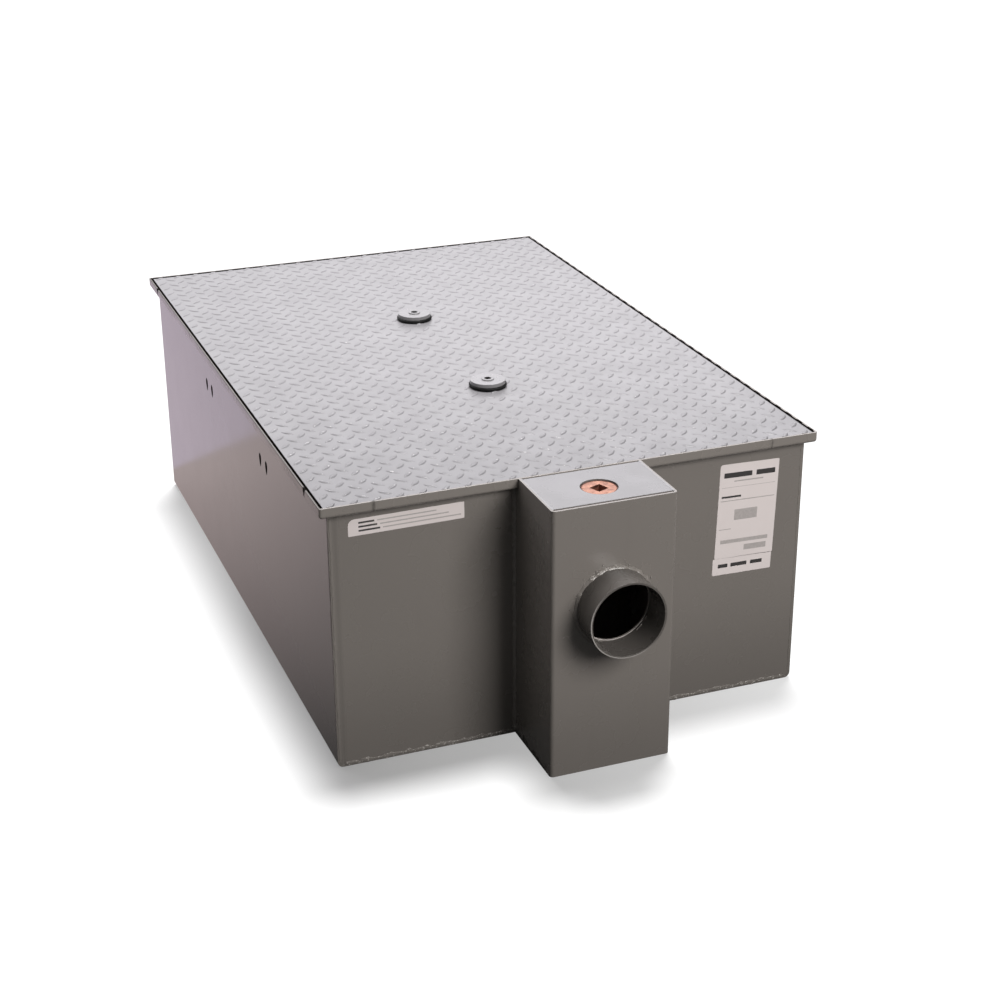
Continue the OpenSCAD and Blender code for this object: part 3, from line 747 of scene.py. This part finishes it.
def bead(path, out, width, height, seed, ripple=2.4 * MM, rough=0.25, ring=False):
    """Weld bead: a half ellipse carried along a path. Its size wanders, crescent ripples cross it and, unless
    it goes round a ring, it tapers to a point at both ends. Its flat underside is sunk into the sheet."""
    path = np.asarray(path, float)
    out = np.broadcast_to(np.asarray(out, float), path.shape)
    ahead = (np.roll(path, -1, 0) - np.roll(path, 1, 0)) if ring else np.gradient(path, axis=0)
    ahead = ahead / np.linalg.norm(ahead, axis=1, keepdims=True)
    across = np.cross(ahead, out)
    step = np.linalg.norm(np.diff(path, axis=0), axis=1)
    along = np.concatenate([[0.0], np.cumsum(step)])
    knots = max(4, int(along[-1] / (7 * MM)))
    size = 1 + rough * wander(len(path), knots, seed)
    drift = 0.25 * width * wander(len(path), knots, seed + 1)
    if ring:
        fade = np.ones(len(path))
    else:
        end = np.minimum(along, along[-1] - along) / (2 * width)
        fade = np.sqrt(np.clip(1 - np.clip(1 - end, 0, 1) ** 2, 0, 1))
    phi = np.linspace(-math.pi / 2, math.pi / 2, 7)
    phase = along[:, None] + 0.8 * width * np.cos(phi)
    crest = 1 + 0.16 * np.sin(2 * math.pi * phase / ripple)
    side = (width * size * fade)[:, None] * np.sin(phi) + drift[:, None] * fade[:, None]
    rise = (height * size * fade)[:, None] * np.cos(phi) * crest
    rise = rise - BEAD_SUNK * np.isclose(np.abs(phi), math.pi / 2)
    points = path[:, None] + across[:, None] * side[..., None] + out[:, None] * rise[..., None]
    return points, grid_faces(len(path), len(phi), close_rows=ring, close_cols=True)


def above_floor(points, faces):
    """Points held at the floor where they would dip under it."""
    points[:, 2] = np.maximum(points[:, 2], 0.0)
    return points, faces


def seam_beads():
    """Beads where the end plates meet the folded walls and floor, outside."""
    parts = []
    floor_x = WALL_X - SHEET / 2 - 8 * MM
    seam_x = WALL_X - SHEET
    foot = SHEET + 1 * MM
    for k, (y, away) in enumerate(((FRONT_Y, -1.0), (BACK_Y, 1.0))):
        for side in (-1, 1):
            upright = straight((side * seam_x, y, 10 * MM), (side * seam_x, y, WALL_TOP - 1 * MM))
            parts.append(bead(upright, (0, away, 0), *UPRIGHT_BEAD, 31 + 7 * k + side, rough=0.4))
        stop = BOX_X + 4 * MM if away < 0 else 0.0
        for side in (-1, 1):
            level = straight((side * floor_x, y, foot), (side * stop, y, foot))
            parts.append(bead(level, (0, away, 0), *FLOOR_BEAD, 53 + 7 * k + side, rough=0.45))
    return above_floor(*joined(parts))


def box_beads():
    """Fillet beads up the two corners between the outlet box and the end plate."""
    parts = []
    corner_y = FRONT_Y - 1.0 * MM
    lean = math.sqrt(0.5)
    for side in (-1, 1):
        corner_x = side * (BOX_X + 1.0 * MM)
        path = straight((corner_x, corner_y, 4 * MM), (corner_x, corner_y, WALL_TOP - 1 * MM))
        parts.append(bead(path, (side * lean, -lean, 0), *FILLET_BEAD, 71 + side, rough=0.3))
    return above_floor(*joined(parts))


def top_beads():
    """Low, painted-over beads along the joints beside the box's top plate."""
    near, far = low("outlet_box_top")[1] + 3 * MM, high("outlet_box_top")[1] - 1 * MM
    parts = []
    for side in (-1, 1):
        joint_x = side * high("outlet_box_top")[0]
        path = straight((joint_x, near, RIM_TOP), (joint_x, far, RIM_TOP))
        parts.append(bead(path, (0, 0, 1), *TOP_BEAD, 141 + side, ripple=14 * MM))
    return joined(parts)


def pipe_bead(face_y, away, seed):
    """Fillet bead round the root of a pipe stub."""
    inset = 0.8 * MM
    turn = np.linspace(0, 2 * math.pi, 380, endpoint=False)
    radial = np.stack([np.cos(turn), np.zeros_like(turn), np.sin(turn)], -1)
    path = radial * (PIPE_R + inset) + np.array([0, face_y + away * inset, PIPE_Z])
    out = (radial + np.array([0, away, 0])) * math.sqrt(0.5)
    return bead(path, out, *FILLET_BEAD, seed, rough=0.45, ring=True)


def splice_beads():
    """Ground-off welds over the frame's splices, outside: low, wide beads from the bend to the top."""
    parts = []
    foot, head = WALL_TOP + 5 * MM, RIM_TOP - 0.6 * MM
    for k, (sx, sy) in enumerate(((-1, -1), (1, -1), (-1, 1), (1, 1))):
        path = straight((sx * SPLICE_X, sy * RIM_Y, foot), (sx * SPLICE_X, sy * RIM_Y, head))
        parts.append(bead(path, (0, sy, 0), *SPLICE_BEAD, 201 + k, ripple=9 * MM))
    return joined(parts)


def spatter():
    """Weld drops round the outlet stub's root: each is a dome, a quarter circle turned about its own axis."""
    rng = np.random.default_rng(77)
    at_top, all_round = 30, 16
    turn = np.radians(np.concatenate([rng.normal(118, 22, at_top), rng.uniform(0, 360, all_round)]))
    reach = PIPE_R + 3 * MM + np.abs(rng.normal(0, 5 * MM, len(turn)))
    size = rng.uniform(0.5, 1.5, len(turn)) * MM
    lift = np.linspace(0, math.pi / 2, 4)
    spin = np.linspace(0, 2 * math.pi, 8, endpoint=False)
    sheet_y = BOX_Y + 0.1 * MM
    parts = []
    for a, r, k in zip(turn, reach, size):
        ring = k * np.cos(lift)[:, None]
        x = r * math.cos(a) + ring * np.cos(spin)
        z = PIPE_Z + r * math.sin(a) + ring * np.sin(spin)
        y = np.broadcast_to(sheet_y - 0.8 * k * np.sin(lift)[:, None], x.shape)
        base = np.array([[[r * math.cos(a), sheet_y, PIPE_Z + r * math.sin(a)]] * len(spin)])
        points = np.concatenate([base, np.stack([x, y, z], -1)])
        parts.append((points, grid_faces(len(lift) + 1, len(spin), close_cols=True)))
    return joined(parts)


make_piece("seam_welds", *seam_beads(), weld_finish, "tank", "enamel")
make_piece("box_welds", *box_beads(), weld_finish, "tank", "enamel")
make_piece("outlet_pipe_weld", *pipe_bead(BOX_Y, -1.0, 91), weld_finish, "tank", "enamel")
make_piece("inlet_pipe_weld", *pipe_bead(BACK_Y, 1.0, 97), weld_finish, "tank", "enamel")
make_piece("box_top_welds", *top_beads(), disc_finish, "tank", "light_enamel")
make_piece("splice_welds", *splice_beads(), rim_finish, "tank", "enamel")
make_piece("weld_spatter", *spatter(), weld_finish, "tank", "enamel")


# Labels

LABEL_T = 0.15 * MM
LABEL_SUNK = 0.02 * MM
INK_T = 0.03 * MM
INK_CORNER = 0.2 * MM


def rounded_outline(w, h, radii, arc=5):
    """Rectangle about the origin with its own radius at each corner, anticlockwise from the lower left."""
    centres = [(-1, -1), (1, -1), (1, 1), (-1, 1)]
    points = []
    for k, ((sx, sy), r) in enumerate(zip(centres, radii)):
        turn = math.pi + k * math.pi / 2 + np.linspace(0, math.pi / 2, arc)
        x = sx * (w / 2 - r) + r * np.cos(turn)
        y = sy * (h / 2 - r) + r * np.sin(turn)
        points.append(np.stack([x, y], -1))
    return np.concatenate(points)


def on_front(flat, centre, turn, depth):
    """Plan points in a label's own plane, turned about its centre and set on the outlet side's wall."""
    c, s = math.cos(turn), math.sin(turn)
    x = centre[0] + flat[..., 0] * c - flat[..., 1] * s
    z = centre[1] + flat[..., 0] * s + flat[..., 1] * c
    return np.stack([x, np.broadcast_to(FRONT_Y - depth, x.shape), z], -1)


def flat_film(outline, centre, turn, base, thickness):
    """Thin film: the outline shrinks to a pole on its back and on its face, and the rim joins the two."""
    face = base + thickness
    loops = [(0.0, base), (1.0, base), (1.0, face), (0.5, face), (0.0, face)]
    points = np.stack([on_front(outline * k, centre, turn, depth) for k, depth in loops])
    return points, grid_faces(len(loops), len(outline), close_cols=True)


def ink_bars(bars, w, h, centre, turn):
    """Plain bars of ink, each by left, top, right and bottom in millimetres from the upper left corner.
    A bar is a thin film like the label's, sunk into it by half the label's thickness."""
    base, face = 0.5 * LABEL_T, LABEL_T + INK_T
    parts = []
    for left, top, right, bottom in bars:
        size = ((right - left) * MM, (bottom - top) * MM)
        middle = np.array([(left + right) / 2 * MM - w / 2, h / 2 - (top + bottom) / 2 * MM])
        outline = rounded_outline(*size, [INK_CORNER] * 4, 3)
        loops = [(0.0, base), (1.0, base), (1.0, face), (0.0, face)]
        points = np.stack([on_front(middle + outline * k, centre, turn, depth) for k, depth in loops])
        parts.append((points, grid_faces(len(loops), len(outline), close_cols=True)))
    return joined(parts)


def ink(name, tone):
    """Printer's ink, slightly uneven."""
    mat, tree, bsdf = new_material(name)
    place = add(tree, "TexCoord").outputs["Object"]
    uneven = mixed(tree, noise(tree, place, 300.0), shade(tone, 0.8), shade(tone, 1.2))
    put(tree, bsdf.inputs["Base Color"], uneven)
    bsdf.inputs["Roughness"].default_value = 0.45
    return mat


dark_ink = ink("dark_ink", (0.045, 0.042, 0.042))
pale_ink = ink("pale_ink", (0.42, 0.39, 0.38))

WIDE_LABEL = dict(w=169 * MM, h=25 * MM, centre=(-0.2535, 0.3735), turn=math.radians(0.4))
TALL_LABEL = dict(w=97 * MM, h=152 * MM, centre=(0.2765, 0.3015), turn=math.radians(-1.6))
STRIP_LABEL = dict(w=98 * MM, h=27 * MM, centre=(0.2725, 0.2125), turn=math.radians(-1.2))

for name, label, radii in (("wide_label", WIDE_LABEL, (1, 1, 1, 9)), ("tall_label", TALL_LABEL, (2, 2, 2, 4)),
                           ("strip_label", STRIP_LABEL, (2, 2, 1, 1))):
    outline = rounded_outline(label["w"], label["h"], [r * MM for r in radii])
    film = flat_film(outline, label["centre"], label["turn"], -LABEL_SUNK, LABEL_T)
    make_piece(name, *film, label_finish, "tank", None, sharp=math.radians(30))

# Bars of print, in millimetres from each label's upper left corner: left, top, right, bottom
WIDE_DARK = [(15, 5 + 6 * k, 38 + 4 * k, 7.6 + 6 * k) for k in range(3)]
WIDE_PALE = [(42 + 4 * k, 5.4 + 6 * k, 128 + 18 * k, 7.2 + 6 * k) for k in range(3)]
TALL_DARK = [(7, 14, 53, 22), (60, 14, 91, 22), (5, 51, 37, 54)]
TALL_PALE = [(24, 27, 72, 29), (4, 37, 93, 37.6), (4, 58, 93, 59.4), (28, 74, 66, 91), (4, 104, 24, 105.2),
             (8, 122, 87, 128), (48, 133, 85, 142)]
STRIP_DARK = [(9, 9.5, 25, 15.5), (30, 9.5, 57, 15.5), (63, 9.5, 83, 15.5)]

for name, label, bars, colour in (
        ("wide_label_heads", WIDE_LABEL, WIDE_DARK, dark_ink),
        ("wide_label_lines", WIDE_LABEL, WIDE_PALE, pale_ink),
        ("tall_label_heads", TALL_LABEL, TALL_DARK, dark_ink),
        ("tall_label_lines", TALL_LABEL, TALL_PALE, pale_ink),
        ("strip_label_heads", STRIP_LABEL, STRIP_DARK, dark_ink)):
    make_piece(name, *ink_bars(bars, **label), colour, "tank", None, sharp=math.radians(30))


# Stage, light and camera

CAMERA_AZIMUTH = math.radians(20.92)
CAMERA_ELEVATION = math.radians(23.70)
CAMERA_ROLL = math.radians(-0.31)
CAMERA_DISTANCE = 3.2896
LOOK_AT = np.array([0.0960, -0.0023, 0.1196])
LENS_MM = 67.93
SENSOR_MM = 36.0

# The seen floor: paint and glow beside the left wall, then to the right
FLOOR_REACH = 16.0
FLOOR_PAINT = (0.46, 0.22)
FLOOR_GLOW = (0.18, 0.70)
FLOOR_SUN = 5.6
FLOOR_SUN_ANGLE = math.radians(13)
FLOOR_SUN_WAY = (-0.08, -0.185, -1.0)

# The card that the sheets reflect
CARD_DARK = (0.03, 0.03, 0.03, 1.0)
CARD_WARM = (0.70, 0.58, 0.575, 1.0)
CARD_COOL = (0.86, 0.74, 0.87, 1.0)
CARD_FROM, CARD_TO = -0.55, 0.62
CARD_SLANT = 0.62
CARD_EDGE = (0.385, 0.415)

# Brightness of the room, from level to overhead, of the backdrop, from low to high, and of the soft boxes
ROOM = (0.02, 0.5)
BACKDROP = (0.4, 2.6)
KEY = 12.0
OVERHEAD = 13.0
TREAD_LIGHT = 13.6
WHITE = (1.0, 1.0, 1.0, 1.0)
WARM_LIGHT = (1.0, 0.98, 0.96)
COOL_LIGHT = (1.0, 0.98, 1.0)


def photo_camera():
    """Camera on the photograph's line of sight, rolled a little about it."""
    a, e, r = CAMERA_AZIMUTH, CAMERA_ELEVATION, CAMERA_ROLL
    ahead = np.array([math.sin(a) * math.cos(e), math.cos(a) * math.cos(e), -math.sin(e)])
    level = np.array([math.cos(a), -math.sin(a), 0.0])
    upright = np.cross(level, ahead)
    right = level * math.cos(r) + upright * math.sin(r)
    up = upright * math.cos(r) - level * math.sin(r)
    data = bpy.data.cameras.new("photo_camera")
    data.lens = LENS_MM
    data.sensor_width = SENSOR_MM
    data.clip_end = 100.0
    camera = bpy.data.objects.new("photo_camera", data)
    bpy.context.scene.collection.objects.link(camera)
    place = Matrix.Identity(4)
    for k in range(3):
        place[k][0], place[k][1], place[k][2] = right[k], up[k], -ahead[k]
        place[k][3] = LOOK_AT[k] - CAMERA_DISTANCE * ahead[k]
    camera.matrix_world = place
    bpy.context.scene.camera = camera


def plain_floor(name, height, tones):
    """Wide level floor just under the tank. Its paint and its glow come from Object coordinates."""
    corners = np.array([[-1, -1, 0], [1, -1, 0], [1, 1, 0], [-1, 1, 0]]) * FLOOR_REACH
    corners[:, 2] = height
    mesh = bpy.data.meshes.new(name)
    mesh.from_pydata(corners.tolist(), [], [(0, 1, 2, 3)])
    mat, tree, bsdf = new_material(name)
    paint, glow = tones(tree, add(tree, "TexCoord").outputs["Object"])
    put(tree, bsdf.inputs["Base Color"], paint)
    put(tree, bsdf.inputs["Emission Color"], glow)
    bsdf.inputs["Emission Strength"].default_value = 1.0
    bsdf.inputs["Roughness"].default_value = 0.7
    bsdf.inputs["Specular IOR Level"].default_value = 0.1
    mesh.materials.append(mat)
    floor = bpy.data.objects.new(name, mesh)
    bpy.context.scene.collection.objects.link(floor)
    return floor


def white_tones(tree, place):
    """White floor with a faint cloud. Its glow fills the shadow, most at the right and before the box."""
    axes = add(tree, "SeparateXYZ", Vector=place)
    pale = most(tree, ramp(tree, axes.outputs["X"], -0.45, 0.40, smooth=False),
                ramp(tree, axes.outputs["Y"], -0.30, 0.25, 0.0, 0.40))
    pale = plus(tree, pale, fall(tree, axes.outputs["Y"], BOX_Y - 0.16, BOX_Y - 0.03, 0.6))
    paint = mixed(tree, pale, *[shade(WHITE, tone) for tone in FLOOR_PAINT])
    paint = mixed(tree, ramp(tree, noise(tree, place, 1.5), 0.3, 0.7, 0.0, 0.02), paint, WHITE)
    return paint, mixed(tree, pale, *[shade(WHITE, tone) for tone in FLOOR_GLOW])


def card_tones(tree, place):
    """Dark card with a glow that grows warm from the outlet end back and is cool behind a slanted edge."""
    axes = add(tree, "SeparateXYZ", Vector=place)
    behind = ramp(tree, plus(tree, axes.outputs["Y"], times(tree, axes.outputs["X"], CARD_SLANT)), *CARD_EDGE)
    back = ramp(tree, axes.outputs["Y"], CARD_FROM, CARD_TO, smooth=False)
    return CARD_DARK, mixed(tree, behind, mixed(tree, back, CARD_DARK, CARD_WARM), CARD_COOL)


def studio_floor():
    """The picture shows the white floor; bounced light and reflections meet the carded one instead."""
    seen = plain_floor("white_floor", -0.1 * MM, white_tones)
    carded = plain_floor("carded_floor", -0.2 * MM, card_tones)
    carded.visible_camera = False
    seen.visible_diffuse = False
    seen.visible_glossy = False
    seen.visible_shadow = False
    return seen


def soft_box(name, place, aim, size, radiance, tint):
    """Rectangular studio light, turned towards a point and kept out of the picture itself."""
    data = bpy.data.lights.new(name, "AREA")
    data.shape = "RECTANGLE"
    data.size, data.size_y = size
    data.energy = radiance * math.pi * size[0] * size[1]
    data.color = tint
    light = bpy.data.objects.new(name, data)
    bpy.context.scene.collection.objects.link(light)
    light.location = place
    light.rotation_euler = (Vector(aim) - Vector(place)).to_track_quat("-Z", "Y").to_euler()
    light.visible_camera = False
    return light


def lights_only(light, pieces, state):
    """Lets a light fall only on some pieces (INCLUDE) or on all but them (EXCLUDE)."""
    linked = bpy.data.collections.new(light.name + "_takes")
    for piece in pieces:
        linked.objects.link(piece)
    for entry in linked.collection_objects:
        entry.light_linking.link_state = state
    light.light_linking.receiver_collection = linked


def floor_sun(seen_floor):
    """Soft light from above and behind for the floor alone, which leaves a short shadow before the tank."""
    data = bpy.data.lights.new("floor_sun", "SUN")
    data.energy = FLOOR_SUN
    data.angle = FLOOR_SUN_ANGLE
    sun = bpy.data.objects.new("floor_sun", data)
    bpy.context.scene.collection.objects.link(sun)
    sun.rotation_euler = Vector(FLOOR_SUN_WAY).to_track_quat("-Z", "Y").to_euler()
    lights_only(sun, [seen_floor], "INCLUDE")


def studio_light(seen_floor):
    """A dim room with a lighter ceiling, a bright backdrop low behind, a soft box overhead and one to the
    right of the camera. The tread plate has its own soft box above it instead, aimed past its back right."""
    world = bpy.data.worlds.new("studio")
    world.use_nodes = True
    tree = world.node_tree
    axes = add(tree, "SeparateXYZ", Vector=add(tree, "TexCoord").outputs["Generated"])
    behind = ramp(tree, axes.outputs["Y"], 0.40, 0.70)
    backdrop = times(tree, behind, ramp(tree, axes.outputs["Z"], 0.12, 0.42, *BACKDROP),
                     fall(tree, axes.outputs["Z"], 0.55, 0.8), fall(tree, axes.outputs["X"], 0.50, 0.75))
    room = ramp(tree, axes.outputs["Z"], 0.3, 1.0, *ROOM)
    sky = tree.nodes["Background"]
    put(tree, sky.inputs["Color"], mixed(tree, behind, (1.0, 0.99, 0.98, 1), (1.0, 0.98, 1.02, 1)))
    put(tree, sky.inputs["Strength"], plus(tree, backdrop, room))
    bpy.context.scene.world = world
    key = soft_box("key", (1.0, -3.2, 2.0), (0.0, -0.5, 0.2), (1.55, 1.8), KEY, WARM_LIGHT)
    lights_only(key, [seen_floor, tread], "EXCLUDE")
    overhead = soft_box("overhead", (0.05, 0.45, 2.9), (0.0, 0.0, 0.4), (1.6, 1.6), OVERHEAD, COOL_LIGHT)
    lights_only(overhead, [seen_floor, tread], "EXCLUDE")
    above = soft_box("tread_light", (0.12, 0.0, 2.2), (1.05, 1.35, 0.4), (1.3, 1.3), TREAD_LIGHT, COOL_LIGHT)
    lights_only(above, [tread], "INCLUDE")
    floor_sun(seen_floor)


photo_camera()
studio_light(studio_floor())
bpy.context.scene.view_settings.view_transform = "Standard"
